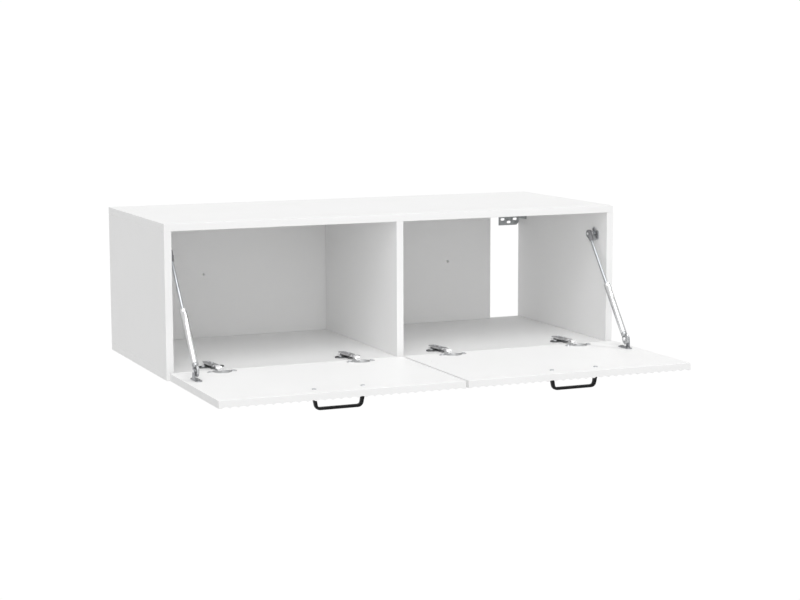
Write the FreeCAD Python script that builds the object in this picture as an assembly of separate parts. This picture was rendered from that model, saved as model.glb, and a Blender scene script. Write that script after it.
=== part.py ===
import FreeCAD, Part
import math
import os

from FreeCAD import Vector

# Floating media console, in millimetres. +X is right, +Y points at the wall, +Z is up.
# The origin is on the wall plane, at mid width and mid height. The two drop-down doors are
# built open, lying flat in front of the cabinet, and that is the rest position.

# Cabinet
width = 1000.0
depth = 420.0
height = 310.0
board = 15.0
back_board = 15.0
cable_gap = 80.0              # open height slot between each back panel and its side panel
eased_edge = 0.6              # rounding on every board edge
fixing_hole_radius = 3.0      # screw hole through each back panel into the wall
fixing_hole_inset = 205.0     # from the cabinet's end to that hole

# Dowels that hold the boards together
dowel_radius = 4.0
dowel_in_face = 9.0           # depth in the top or bottom panel
dowel_in_edge = 21.0          # depth in the end of an upright board
dowel_clearance = 0.05
dowel_front_inset = 50.0
dowel_rear_inset = 60.0
dowel_back_inset = 55.0       # from each end of a back panel

# Doors
door_board = 15.0
door_end_reveal = 2.5         # the door stops this far short of the cabinet's end
door_seam = 6.0               # between the two doors
closed_bottom_reveal = 1.0
closed_top_reveal = 1.0
closed_gap = 1.5              # between a closed door and the cabinet's front edges
open_gap = 16.0               # between the open door's rear edge and the cabinet's front edges
open_step = 2.5               # open door's inner face above the compartment floor
flute_pitch = 16.74
flute_land = 1.6              # flat ridge left between two flutes
flute_depth = 2.4
flute_margin = 3.0            # least plain width at each end of the door

# Bow handles
handle_hole_spacing = 98.0
handle_front_inset = 37.0     # from the door's free edge to the handle's screws
handle_reach = 25.0
handle_splay = 4.5            # each leg leans inwards by this much
handle_leg = 7.0
handle_bar = 5.5
handle_breadth = 10.0
handle_outer_radius = 10.0
handle_edge_radius = 1.8
handle_screw_radius = 2.0
handle_thread_length = 6.0
handle_head_radius = 4.4
handle_head_height = 1.8
handle_thread_spare = 1.0     # the screws end this far short of the holes in the legs

# Concealed hinges
hinge_inset = 100.0           # from each end of the door
cup_radius = 17.5
cup_depth = 11.3
cup_wall = 0.8
cup_edge_distance = 20.0      # from the door's hinged edge to the cup's centre
cup_bore_clearance = 0.1
flange_thickness = 1.2
flange_rim = 1.5              # round rim beyond the cup
flange_screw_spacing = 48.0
flange_bar_radius = 6.5
plate_line = 37.0             # mounting plate's screw line behind the cabinet's front edges
plate_screw_spacing = 32.0
plate_wing_radius = 11.0
plate_thickness = 2.0
spine_width = 10.0
spine_height = 6.0
spine_front = 18.0
spine_rear = 66.0
arm_width = 14.0
arm_wall = 1.5
arm_height = 10.0             # top of the arm above the bottom panel
arm_lift = 4.5                # underside of the arm's cheeks above the bottom panel
arm_front = 2.0
arm_rear = 76.0
arm_screws = (29.0, 55.0)
nose_reach = 7.5              # link pivot in front of the cabinet's front edges
nose_rise = 3.5               # link pivot above the open door's inner face
nose_radius = 2.3
nose_width = 6.0
link_pin_radius = 1.2
link_pin_clearance = 0.05
link_width = 8.0
link_hood_width = 13.0
link_sheet = 1.8
link_sag = 5.0                # height of the link's arch over its chord
link_barrel_radius = 1.3
link_hood_from = 0.32         # the hood's span along the arch, as shares counted from the nose
link_hood_to = 0.76
link_clearance = 0.3
link_window_gap = 1.2         # behind the nose's round end

# Struts
strut_inset = 13.0            # strut's plane from the side panel's inner face
strut_head_setback = 54.5     # upper pivot behind the cabinet's front edges
strut_head_drop = 65.0        # upper pivot below the cabinet's top
strut_foot_rise = 19.0        # lower pivot above the door's inner face
tube_radius = 6.5
tube_bore_radius = 5.5
tube_end_wall = 2.0
gland_length = 6.0
rod_radius = 3.0
rod_clearance = 0.05
piston_length = 4.0
piston_play = 0.5             # free length left at each end of the stroke
foot_reach = 15.0             # from the lower pivot to the tube
head_reach = 19.0             # from the upper pivot to the bare rod
fitting_socket = 6.0          # length of rod held inside the upper fitting
foot_eye_radius = 11.5
foot_eye_width = 5.0
foot_neck_radius = 5.8
foot_neck_gap = 0.6           # between the cheek's round top and the neck
foot_end_margin = 20.0        # least distance from the lower pivot to either end of the door
head_eye_radius = 8.5
head_eye_width = 7.0
head_neck_radius = 3.9        # at the rod
head_neck_flare = 6.5         # at the eye
head_neck_gap = 1.5           # between the pivot pin and the neck
strut_rest_gap = 0.6          # between the tube and the upper fitting when the door is closed
pivot_pin_radius = 2.5
pivot_clearance = 0.05
foot_cap_radius = 4.0         # round cap on the lower pin's free end
foot_cap_height = 3.6
foot_cap_gap = 0.3            # between the eye and that cap
head_cap_radius = 3.0
head_cap_height = 1.8
cap_rounding = 0.6            # a cap's rounded edge as a share of its height
free_pin_gap = 0.3            # between the upper pin and its bracket
bracket_sheet = 2.0
bracket_boss_radius = 4.5
bracket_boss_height = 1.6
side_bracket_screws = ((-0.5, 8.6), (-14.3, 2.0), (-14.3, -6.0))   # Y and Z from the upper pivot
side_bracket_tail = (-4.0, -9.5)
side_bracket_radius = 6.0
foot_bracket_radius = 7.0
foot_bracket_rear = 24.0      # from the lower pivot towards the hinged edge
foot_bracket_front = 20.0     # from the lower pivot towards the free edge
foot_bracket_screws = (15.0, -11.0)   # from the lower pivot, towards the hinged edge
foot_cheek_radius = 5.5
foot_cheek_gap = 2.4          # between the cheek and the eye
pilot_radius = 1.25
pilot_depth = 8.0

# Wall brackets
wall_bracket_sheet = 2.0
wall_leg_width = 52.0
wall_leg_height = 60.0
side_leg_length = 42.0
side_leg_rise = 17.0          # side leg's lower edge above the wall leg's
wall_bracket_drop = 3.0       # below the top panel
wall_bracket_cut = 6.0        # cut corner beside the side panel
wall_slot_width = 6.0
wall_slot_length = 11.0
wall_slot_spacing_x = 32.0
wall_slot_spacing_z = 26.0
wall_slot_inset = 10.0        # from the wall leg's free edge to the first slot
wall_slot_rise = 14.0         # lower pair of slots above the wall leg's lower edge
wall_slot_low_rise = 7.0      # single slot above that edge
bracket_screw_setbacks = (12.0, 31.0)

# Wood screws
screw_head_radius = 3.5
screw_head_height = 1.6
screw_shank_radius = 1.75
screw_length = 11.0
short_screw_length = 9.0
hinge_screw_length = 10.0
drive_width = 0.9
drive_depth = 0.7
drive_span = 0.55             # the cross drive's length as a share of the head's width
head_crown = 0.55             # the head's rounding as a share of its height
screw_clearance = 0.05

# Places that follow from the sizes above
half_width = width / 2
front = -depth
under = -height / 2
top = height / 2
floor_z = under + board
ceiling_z = top - board
inner_x = half_width - board
gap_x = inner_x - cable_gap
door_width = half_width - door_seam / 2 - door_end_reveal
door_length = height - closed_bottom_reveal - closed_top_reveal
door_rear = front - open_gap
door_front = door_rear - door_length
door_top = floor_z + open_step
door_under = door_top - door_board
door_end = -half_width + door_end_reveal
door_mid = door_end + door_width / 2
axis_difference = front - closed_gap - door_top
axis_sum = under + closed_bottom_reveal + door_rear
door_axis_y = (axis_sum + axis_difference) / 2
door_axis_z = (axis_sum - axis_difference) / 2
hinge_places = (door_end + hinge_inset, door_end + door_width - hinge_inset)
cup_y = door_rear - cup_edge_distance
nose_y = front - nose_reach
nose_z = door_top + nose_rise
strut_x = -inner_x + strut_inset
head_y = front + strut_head_setback
head_z = top - strut_head_drop
foot_z = door_top + strut_foot_rise
free_pin_x = -inner_x + bracket_sheet + bracket_boss_height + free_pin_gap


def box(x0, x1, y0, y1, z0, z1):
    return Part.makeBox(x1 - x0, y1 - y0, z1 - z0, Vector(x0, y0, z0))


def rod_along(start, direction, radius, length):
    return Part.makeCylinder(radius, length, start, direction)


def pin_x(x0, x1, y, z, radius):
    return rod_along(Vector(x0, y, z), Vector(1, 0, 0), radius, x1 - x0)


def eased(shape):
    return shape.makeFillet(eased_edge, shape.Edges)


def mirrored(shape):
    return shape.mirror(Vector(0, 0, 0), Vector(1, 0, 0))


def both_sides(shapes):
    return shapes + [mirrored(shape) for shape in shapes]


def save(name, shapes):
    shape = shapes[0] if len(shapes) == 1 else Part.makeCompound(shapes)
    shape.exportStep("parts/" + name + ".step")


def stadium(p, q, radius, rise):
    """A plate with round ends about p and q, as thick as the vector rise."""
    if p.distanceToPoint(q) < 1e-6:
        return rod_along(p, rise, radius, rise.Length)
    along = (q - p).normalize()
    side = rise.cross(along).normalize() * radius
    cap = along * radius
    outline = Part.Wire([
        Part.LineSegment(p + side, q + side).toShape(),
        Part.Arc(q + side, q + cap, q - side).toShape(),
        Part.LineSegment(q - side, p - side).toShape(),
        Part.Arc(p - side, p - cap, p + side).toShape(),
    ])
    return Part.Face(outline).extrude(rise)


def screw(seat, outward, head_radius, head_height, shank_radius, shank_length):
    """A round-headed screw seated at seat, with its head towards outward and a cross drive."""
    tip = seat + outward * head_height
    head = rod_along(seat, outward, head_radius, head_height)
    rim = [edge for edge in head.Edges
           if edge.Length > head_radius * 6 and edge.CenterOfMass.distanceToPoint(tip) < 1e-3]
    head = head.makeFillet(head_height * head_crown, rim)
    shank = rod_along(seat, outward * -1, shank_radius, shank_length)
    across = outward.cross(Vector(1, 0, 0))
    if across.Length < 0.5:
        across = outward.cross(Vector(0, 1, 0))
    body = head.fuse(shank)
    for side in (across, outward.cross(across)):
        bar_half = side * (head_radius * drive_span)
        width_half = outward.cross(side) * (drive_width / 2)
        corners = [tip - bar_half - width_half, tip + bar_half - width_half,
                   tip + bar_half + width_half, tip - bar_half + width_half]
        slot = Part.Face(Part.makePolygon(corners + corners[:1])).extrude(outward * -drive_depth)
        body = body.cut(slot)
    return body


def wood_screw(seat, outward, length):
    return screw(seat, outward, screw_head_radius, screw_head_height, screw_shank_radius, length)


def screw_hole(seat, outward, length):
    """The hole that a wood screw needs below its seat."""
    return rod_along(seat, outward * -1, screw_shank_radius + screw_clearance, length)


def on_closed_door(y, z):
    """Where a point that is fixed to the open door lies once the door is closed."""
    return door_axis_y + (z - door_axis_z), door_axis_z - (y - door_axis_y)


# ---- Strut lengths ----

def strut_length(foot_y):
    return math.hypot(head_y - foot_y, head_z - foot_z)


def strut_closed_length(foot_y):
    y, z = on_closed_door(foot_y, foot_z)
    return math.hypot(head_y - y, head_z - z)


def strut_spare(foot_y):
    """Stroke left over when the lower pivot is at foot_y: zero is a strut that fits exactly."""
    closed = strut_closed_length(foot_y)
    tube = closed - foot_reach - head_reach - strut_rest_gap
    stroke = tube - tube_end_wall - gland_length - piston_length - 2 * piston_play
    return closed + stroke - strut_length(foot_y)


def fitting_foot_y():
    """The lower pivot's place along the door at which the strut telescopes fully."""
    near = door_rear - foot_end_margin
    far = door_front + foot_end_margin
    for _ in range(60):
        middle = (near + far) / 2
        if strut_spare(middle) > 0:
            near = middle
        else:
            far = middle
    return near


foot_y = fitting_foot_y()
open_length = strut_length(foot_y)
closed_length = strut_closed_length(foot_y)
tube_top = closed_length - head_reach - strut_rest_gap
strut_direction = Vector(0, head_y - foot_y, head_z - foot_z).normalize()


# ---- Carcass ----

def dowel_joints():
    """Plan positions of the dowels that stand between an upright board and the top or bottom."""
    along_depth = (front + dowel_front_inset, -dowel_rear_inset)
    joints = [(x, y) for x in (-half_width + board / 2, 0.0, half_width - board / 2) for y in along_depth]
    back_ends = (board / 2 + dowel_back_inset, gap_x - dowel_back_inset)
    joints += [(side * x, -back_board / 2) for side in (-1, 1) for x in back_ends]
    return joints


def dowels_and_bores():
    dowels = []
    bores = []
    for x, y in dowel_joints():
        for seam_z, outward in ((ceiling_z, 1), (floor_z, -1)):
            start = Vector(x, y, seam_z - outward * dowel_in_edge)
            direction = Vector(0, 0, outward)
            length = dowel_in_edge + dowel_in_face
            slack = direction * dowel_clearance
            dowels.append(rod_along(start, direction, dowel_radius, length))
            bores.append(rod_along(start - slack, direction, dowel_radius + dowel_clearance,
                                   length + 2 * dowel_clearance))
    return dowels, Part.makeCompound(bores)


def carcass_boards(bores):
    flat = (-half_width, half_width, front, 0)
    boards = {
        "top_panel": box(*flat, ceiling_z, top),
        "bottom_panel": box(*flat, under, floor_z),
        "side_panel_left": box(-half_width, -inner_x, front, 0, floor_z, ceiling_z),
        "side_panel_right": box(inner_x, half_width, front, 0, floor_z, ceiling_z),
        "centre_divider": box(-board / 2, board / 2, front, 0, floor_z, ceiling_z),
        "back_panel_left": box(-gap_x, -board / 2, -back_board, 0, floor_z, ceiling_z),
        "back_panel_right": box(board / 2, gap_x, -back_board, 0, floor_z, ceiling_z),
    }
    holes = {name: [bores] for name in boards}
    for name, side in (("back_panel_left", -1), ("back_panel_right", 1)):
        start = Vector(side * (half_width - fixing_hole_inset), -back_board, 0)
        holes[name].append(rod_along(start, Vector(0, 1, 0), fixing_hole_radius, back_board))
    holes["bottom_panel"] += both_sides(hinge_plate_screw_holes())
    side_holes = side_bracket_screw_holes() + wall_bracket_screw_holes()
    holes["side_panel_left"] += side_holes
    holes["side_panel_right"] += [mirrored(hole) for hole in side_holes]
    return {name: eased(boards[name]).cut(holes[name]) for name in boards}


# ---- Wall brackets, in the top rear corners ----

wall_low_z = ceiling_z - wall_bracket_drop - wall_leg_height
wall_high_z = wall_low_z + wall_leg_height
wall_leg_x = -inner_x + wall_leg_width


def wall_bracket():
    """A steel angle: a slotted leg flat on the wall and a shorter leg along the side panel."""
    outline = [(wall_leg_x, wall_low_z), (wall_leg_x, wall_high_z), (-inner_x, wall_high_z),
               (-inner_x, wall_low_z + wall_bracket_cut), (-inner_x + wall_bracket_cut, wall_low_z)]
    corners = [Vector(x, 0, z) for x, z in outline]
    face = Part.Face(Part.makePolygon(corners + corners[:1]))
    wall_leg = face.extrude(Vector(0, -wall_bracket_sheet, 0))
    side_leg = box(-inner_x, -inner_x + wall_bracket_sheet, -side_leg_length, 0,
                   wall_low_z + side_leg_rise, wall_high_z)
    first_x = wall_leg_x - wall_slot_inset
    pair_z = wall_low_z + wall_slot_rise
    centres = [(first_x - column * wall_slot_spacing_x, pair_z + row * wall_slot_spacing_z)
               for column in (0, 1) for row in (0, 1)]
    centres.append((first_x - wall_slot_spacing_x / 2, wall_low_z + wall_slot_low_rise))
    bracket = wall_leg.fuse(side_leg).removeSplitter()
    reach = (wall_slot_length - wall_slot_width) / 2
    for x, z in centres:
        slot = stadium(Vector(x - reach, 0, z), Vector(x + reach, 0, z), wall_slot_width / 2,
                       Vector(0, -wall_bracket_sheet, 0))
        bracket = bracket.cut(slot)
    return bracket.cut(wall_bracket_screw_holes())


def wall_bracket_screw_seats():
    span = wall_high_z - wall_low_z - side_leg_rise
    heights = (wall_high_z - span / 4, wall_high_z - 3 * span / 4)
    return [Vector(-inner_x + wall_bracket_sheet, -setback, z)
            for setback in bracket_screw_setbacks for z in heights]


def wall_bracket_screw_holes():
    return [screw_hole(seat, Vector(1, 0, 0), screw_length) for seat in wall_bracket_screw_seats()]


# ---- Hinges ----

def hinge_plate_screw_seats():
    return [Vector(x + side * plate_screw_spacing / 2, front + plate_line, floor_z + plate_thickness)
            for x in hinge_places for side in (-1, 1)]


def hinge_plate_screw_holes():
    return [screw_hole(seat, Vector(0, 0, 1), hinge_screw_length) for seat in hinge_plate_screw_seats()]


def mounting_plate(x):
    """A winged plate on the bottom panel, with a spine that the arm sits over."""
    half = plate_screw_spacing / 2
    line = front + plate_line
    wings = stadium(Vector(x - half, line, floor_z), Vector(x + half, line, floor_z), plate_wing_radius,
                    Vector(0, 0, plate_thickness))
    spine = box(x - spine_width / 2, x + spine_width / 2, front + spine_front, front + spine_rear,
                floor_z, floor_z + spine_height)
    return wings.fuse(spine).cut(hinge_plate_screw_holes())


def arm_screw_places(x):
    return [Vector(x, front + setback, floor_z + arm_height) for setback in arm_screws]


def hinge_arm(x):
    """An inverted channel over the mounting plate, ending in a narrow nose with the link's pivot."""
    low = floor_z + arm_lift
    high = floor_z + arm_height
    inside = arm_width / 2 - arm_wall
    channel = box(x - arm_width / 2, x + arm_width / 2, front + arm_front, front + arm_rear, low, high)
    corners = [edge for edge in channel.Edges
               if abs(edge.CenterOfMass.z - high) < 1e-3 or edge.Length < arm_height - arm_lift + 1e-3]
    channel = channel.makeFillet(arm_wall, corners)
    hollow = box(x - inside, x + inside, front + arm_front + arm_wall, front + arm_rear,
                 low, high - arm_wall)
    tip = stadium(Vector(x - nose_width / 2, nose_y, nose_z),
                  Vector(x - nose_width / 2, front + arm_front + arm_wall, nose_z),
                  nose_radius, Vector(nose_width, 0, 0))
    rear_clip = box(x - inside, x + inside, front + arm_rear - arm_wall, front + arm_rear,
                    low + arm_wall, high)
    arm = channel.cut(hollow).fuse([tip, rear_clip]).removeSplitter()
    bore = pin_x(x - nose_width, x + nose_width, nose_y, nose_z, link_pin_radius + link_pin_clearance)
    holes = [rod_along(place, Vector(0, 0, -1), screw_shank_radius + screw_clearance, arm_height)
             for place in arm_screw_places(x)]
    return arm.cut([bore] + holes)


def arm_screws_at(x):
    """The two adjusting screws, which stand on the mounting plate's spine."""
    length = arm_height - spine_height
    return [screw(place, Vector(0, 0, 1), screw_head_radius, screw_head_height, screw_shank_radius, length)
            for place in arm_screw_places(x)]


def cup_inside_radius():
    return cup_radius - cup_wall


def cup_chord(half):
    """Half length of the cup's opening, across the hinge, at half width half."""
    return math.sqrt(cup_inside_radius() ** 2 - half ** 2)


link_end_y = cup_y + cup_chord(link_width / 2) - link_barrel_radius - link_clearance
link_end_z = door_top + link_barrel_radius / 2


def ring_sector(x, half, centre, radius, start, end):
    """A curved strip about an axis along X, from angle start to end in radians, with Y at zero."""
    inner = radius - link_sheet / 2
    outer = radius + link_sheet / 2

    def at(r, angle):
        return Vector(x - half, centre[0] + r * math.cos(angle), centre[1] + r * math.sin(angle))

    middle = (start + end) / 2
    outline = Part.Wire([
        Part.Arc(at(outer, start), at(outer, middle), at(outer, end)).toShape(),
        Part.LineSegment(at(outer, end), at(inner, end)).toShape(),
        Part.Arc(at(inner, end), at(inner, middle), at(inner, start)).toShape(),
        Part.LineSegment(at(inner, start), at(outer, start)).toShape(),
    ])
    return Part.Face(outline).extrude(Vector(2 * half, 0, 0))


def hinge_link(x):
    """The arched link: two cheeks from the nose's pin, joined by a hood that dips into the cup."""
    chord = math.hypot(nose_y - link_end_y, nose_z - link_end_z)
    radius = (chord ** 2 / 4 + link_sag ** 2) / (2 * link_sag)
    lean = math.atan2(nose_z - link_end_z, nose_y - link_end_y)
    drop = radius - link_sag
    centre = ((nose_y + link_end_y) / 2 + drop * math.sin(lean),
              (nose_z + link_end_z) / 2 - drop * math.cos(lean))
    start = math.atan2(nose_z - centre[1], nose_y - centre[0])
    end = math.atan2(link_end_z - centre[1], link_end_y - centre[0])
    if end < start:
        end += 2 * math.pi
    hood_start = start + (end - start) * link_hood_from
    hood_end = start + (end - start) * link_hood_to
    half = link_width / 2
    cheeks = ring_sector(x, half, centre, radius, start, end)
    window_half = nose_width / 2 + link_clearance
    window_reach = nose_radius + link_window_gap
    window = box(x - window_half, x + window_half, nose_y - window_reach, nose_y + window_reach,
                 nose_z - window_reach, nose_z + window_reach + link_sag)
    hood = ring_sector(x, link_hood_width / 2, centre, radius, hood_start, hood_end)
    pin = pin_x(x - half, x + half, nose_y, nose_z, link_pin_radius)
    eyes = pin_x(x - half, x + half, nose_y, nose_z, nose_radius)
    barrel = pin_x(x - half, x + half, link_end_y, link_end_z, link_barrel_radius)
    return cheeks.fuse(eyes).cut(window).fuse([hood, pin, barrel]).removeSplitter()


def flange_screw_seats(x):
    return [Vector(x + side * flange_screw_spacing / 2, cup_y, door_top + flange_thickness)
            for side in (-1, 1)]


def hinge_cup(x):
    """A round steel cup let into the door, with a flange that two screws hold."""
    centre = Vector(x, cup_y, door_top - cup_depth)
    seats = flange_screw_seats(x)
    cup = rod_along(centre, Vector(0, 0, 1), cup_radius, cup_depth)
    drop = Vector(0, 0, -flange_thickness)
    bar = stadium(seats[0], seats[1], flange_bar_radius, drop)
    rim = rod_along(Vector(x, cup_y, door_top), Vector(0, 0, 1), cup_radius + flange_rim, flange_thickness)
    hollow = rod_along(centre + Vector(0, 0, cup_wall), Vector(0, 0, 1), cup_inside_radius(),
                       cup_depth + flange_thickness)
    return cup.fuse([bar, rim]).removeSplitter().cut([hollow] + cup_screw_holes(x))


def cup_screw_holes(x):
    return [screw_hole(seat, Vector(0, 0, 1), hinge_screw_length) for seat in flange_screw_seats(x)]


# ---- Doors ----

def handle_screw_places():
    y = door_front + handle_front_inset
    return [Vector(door_mid + side * handle_hole_spacing / 2, y, door_top) for side in (-1, 1)]


def flutes():
    """Shallow round grooves along the door's outer face, evenly spaced about its middle."""
    count = int((door_width - 2 * flute_margin) / flute_pitch)
    chord = flute_pitch - flute_land
    radius = (chord ** 2 / 4 + flute_depth ** 2) / (2 * flute_depth)
    z = door_under + flute_depth - radius
    cutters = []
    for index in range(count):
        x = door_mid + (index - (count - 1) / 2) * flute_pitch
        cutters.append(rod_along(Vector(x, door_front - 1, z), Vector(0, 1, 0), radius, door_length + 2))
    return cutters


def foot_screw_seats(x):
    return [Vector(x, foot_y + place, door_top + bracket_sheet) for place in foot_bracket_screws]


def door():
    """The left door: a fluted board with cups, handle, strut bracket and spare pilot holes."""
    slab = box(door_end, door_end + door_width, door_front, door_rear, door_under, door_top)
    slab = eased(slab).cut(flutes())
    holes = []
    for x in hinge_places:
        depth_in = Vector(0, 0, -cup_depth - cup_bore_clearance)
        holes.append(rod_along(Vector(x, cup_y, door_top), depth_in, cup_radius + cup_bore_clearance,
                               depth_in.Length))
        holes += cup_screw_holes(x)
    for place in handle_screw_places():
        holes.append(rod_along(place, Vector(0, 0, -1), handle_screw_radius + screw_clearance, door_board))
    holes += [screw_hole(seat, Vector(0, 0, 1), short_screw_length) for seat in foot_screw_seats(strut_x)]
    spare_x = 2 * door_mid - strut_x
    for seat in foot_screw_seats(spare_x):
        start = Vector(seat.x, seat.y, door_top)
        holes.append(rod_along(start, Vector(0, 0, -1), pilot_radius, pilot_depth))
    return slab.cut(holes)


def round_corners(bow, z, radius):
    """Round the two edges of the bow that run along Y at height z."""
    edges = [edge for edge in bow.Edges
             if abs(edge.BoundBox.ZMin - z) < 1e-3 and abs(edge.BoundBox.ZMax - z) < 1e-3
             and edge.BoundBox.XLength < 1e-3]
    return bow.makeFillet(radius, edges)


def handle(door_shape):
    """A bow handle whose feet are shaped to the flutes, with a screw hole up each leg."""
    outer = handle_hole_spacing / 2 + handle_leg / 2
    inner = outer - handle_leg
    foot = door_under + flute_depth
    bar_low = door_under - handle_reach
    bar_high = bar_low + handle_bar
    lean = handle_splay / handle_reach

    def corner(half, z):
        return half - lean * (door_under - z)

    outside = [(-corner(outer, foot), foot), (-corner(outer, bar_low), bar_low),
               (corner(outer, bar_low), bar_low), (corner(outer, foot), foot)]
    inside = [(corner(inner, foot), foot), (corner(inner, bar_high), bar_high),
              (-corner(inner, bar_high), bar_high), (-corner(inner, foot), foot)]
    y0 = door_front + handle_front_inset - handle_breadth / 2
    points = [Vector(door_mid + x, y0, z) for x, z in outside + inside]
    bow = Part.Face(Part.makePolygon(points + points[:1])).extrude(Vector(0, handle_breadth, 0))
    bow = round_corners(bow, bar_low, handle_outer_radius)
    bow = round_corners(bow, bar_high, handle_outer_radius - handle_bar)
    long_edges = [edge for edge in bow.Edges
                  if abs(edge.BoundBox.YLength) < 1e-3 and edge.BoundBox.ZMin < foot - 1e-3]
    bow = bow.makeFillet(handle_edge_radius, long_edges)
    threads = [rod_along(place, Vector(0, 0, -1), handle_screw_radius + screw_clearance,
                         door_board + handle_thread_length) for place in handle_screw_places()]
    return bow.cut([door_shape] + threads)


def handle_screws():
    length = door_board + handle_thread_length - handle_thread_spare
    return [screw(place, Vector(0, 0, 1), handle_head_radius, handle_head_height, handle_screw_radius,
                  length) for place in handle_screw_places()]


# ---- Struts, built on the left ----

def on_strut(distance):
    """The point at a distance from the lower pivot along the open strut."""
    return Vector(strut_x, foot_y, foot_z) + strut_direction * distance


def side_bracket_screw_seats():
    return [Vector(-inner_x + bracket_sheet, head_y + y, head_z + z) for y, z in side_bracket_screws]


def side_bracket_screw_holes():
    return [screw_hole(seat, Vector(1, 0, 0), screw_length) for seat in side_bracket_screw_seats()]


def side_bracket():
    """A lobed plate on the side panel, with a raised boss where the upper pivot bears."""
    rise = Vector(bracket_sheet, 0, 0)
    pivot = Vector(-inner_x, head_y, head_z)
    ends = [pivot + Vector(0, y, z) for y, z in side_bracket_screws + (side_bracket_tail,)]
    lobes = [stadium(pivot, end, side_bracket_radius, rise) for end in ends]
    front_edge = stadium(ends[1], ends[2], side_bracket_radius, rise)
    boss = rod_along(pivot, Vector(1, 0, 0), bracket_boss_radius, bracket_sheet + bracket_boss_height)
    return front_edge.fuse(lobes + [boss]).removeSplitter().cut(side_bracket_screw_holes())


def pin_cap(x, y, z, radius, height):
    """The rounded cap on the end of a pivot pin, which stands out from x."""
    cap = pin_x(x, x + height, y, z, radius)
    rim = [edge for edge in cap.Edges if edge.BoundBox.XMin > x + height - 1e-3]
    return cap.makeFillet(height * cap_rounding, rim)


def foot_bracket():
    """A base on the door with one cheek, which carries the lower pivot pin and its cap."""
    rear = Vector(strut_x, foot_y + foot_bracket_rear - foot_bracket_radius, door_top)
    fore = Vector(strut_x, foot_y - foot_bracket_front + foot_bracket_radius, door_top)
    base = stadium(rear, fore, foot_bracket_radius, Vector(0, 0, bracket_sheet))
    cheek_x = strut_x - foot_eye_width / 2 - foot_cheek_gap - bracket_sheet
    foot = Vector(cheek_x, foot_y, door_top + foot_cheek_radius)
    cheek = stadium(foot, Vector(cheek_x, foot_y, foot_z), foot_cheek_radius, Vector(bracket_sheet, 0, 0))
    web = box(cheek_x, cheek_x + bracket_sheet, foot_y - foot_cheek_radius, foot_y + foot_cheek_radius,
              door_top, door_top + foot_cheek_radius)
    pin_end = strut_x + foot_eye_width / 2 + foot_cap_gap
    pin = pin_x(cheek_x, pin_end, foot_y, foot_z, pivot_pin_radius)
    cap = pin_cap(pin_end, foot_y, foot_z, foot_cap_radius, foot_cap_height)
    holes = [screw_hole(seat, Vector(0, 0, 1), short_screw_length) for seat in foot_screw_seats(strut_x)]
    return base.fuse([cheek, web, pin, cap]).removeSplitter().cut(holes)


def lower_fitting():
    """The eye under the tube's closed end."""
    half = foot_eye_width / 2
    eye = pin_x(strut_x - half, strut_x + half, foot_y, foot_z, foot_eye_radius)
    start = foot_cheek_radius + foot_neck_gap
    neck = rod_along(on_strut(start), strut_direction, foot_neck_radius, foot_reach - start)
    bore = pin_x(strut_x - half - 1, strut_x + half + 1, foot_y, foot_z, pivot_pin_radius + pivot_clearance)
    return eye.fuse(neck).removeSplitter().cut(bore)


def strut_tube():
    outside = rod_along(on_strut(foot_reach), strut_direction, tube_radius, tube_top - foot_reach)
    cavity_start = foot_reach + tube_end_wall
    cavity = rod_along(on_strut(cavity_start), strut_direction, tube_bore_radius,
                       tube_top - gland_length - cavity_start)
    mouth = rod_along(on_strut(tube_top - gland_length), strut_direction, rod_radius + rod_clearance,
                      gland_length)
    return outside.cut([cavity, mouth])


def strut_rod():
    """The rod and its piston, drawn right out of the tube."""
    piston_start = tube_top - gland_length - piston_play - piston_length
    piston = rod_along(on_strut(piston_start), strut_direction, tube_bore_radius - rod_clearance,
                       piston_length)
    rod_end = open_length - head_reach + fitting_socket
    rod = rod_along(on_strut(piston_start), strut_direction, rod_radius, rod_end - piston_start)
    return rod.fuse(piston).removeSplitter()


def upper_fitting():
    """The eye at the rod's end and the neck that narrows from it to the rod."""
    half = head_eye_width / 2
    eye = pin_x(strut_x - half, strut_x + half, head_y, head_z, head_eye_radius)
    neck_length = head_reach - pivot_pin_radius - head_neck_gap
    neck = Part.makeCone(head_neck_radius, head_neck_flare, neck_length,
                         on_strut(open_length - head_reach), strut_direction)
    bore = pin_x(free_pin_x, strut_x + half + 1, head_y, head_z, pivot_pin_radius)
    socket = rod_along(on_strut(open_length - head_reach), strut_direction, rod_radius, fitting_socket)
    return eye.fuse(neck).cut([bore, socket])


def upper_pin():
    """The pivot pin that points at the side panel's bracket, with its cap on the other end."""
    pin_end = strut_x + head_eye_width / 2
    pin = pin_x(free_pin_x, pin_end, head_y, head_z, pivot_pin_radius)
    return pin.fuse(pin_cap(pin_end, head_y, head_z, head_cap_radius, head_cap_height)).removeSplitter()


# ---- Write every piece ----

os.makedirs("parts", exist_ok=True)

dowels, dowel_bores = dowels_and_bores()
save("dowels", dowels)
for name, shape in carcass_boards(dowel_bores).items():
    save(name, [shape])

right = Vector(1, 0, 0)
up = Vector(0, 0, 1)
plates = [mounting_plate(x) for x in hinge_places]
arms = [hinge_arm(x) for x in hinge_places]
plate_screws = [wood_screw(seat, up, hinge_screw_length) for seat in hinge_plate_screw_seats()]
adjusting_screws = [part for x in hinge_places for part in arm_screws_at(x)]
wall_screws = [wood_screw(seat, right, screw_length) for seat in wall_bracket_screw_seats()]
side_screws = [wood_screw(seat, right, screw_length) for seat in side_bracket_screw_seats()]
save("hinge_mounting_plates", both_sides(plates))
save("hinge_arms", both_sides(arms))
save("hinge_plate_screws", both_sides(plate_screws))
save("hinge_adjusting_screws", both_sides(adjusting_screws))
save("wall_bracket_screws", both_sides(wall_screws))
save("side_bracket_screws", both_sides(side_screws))

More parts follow.
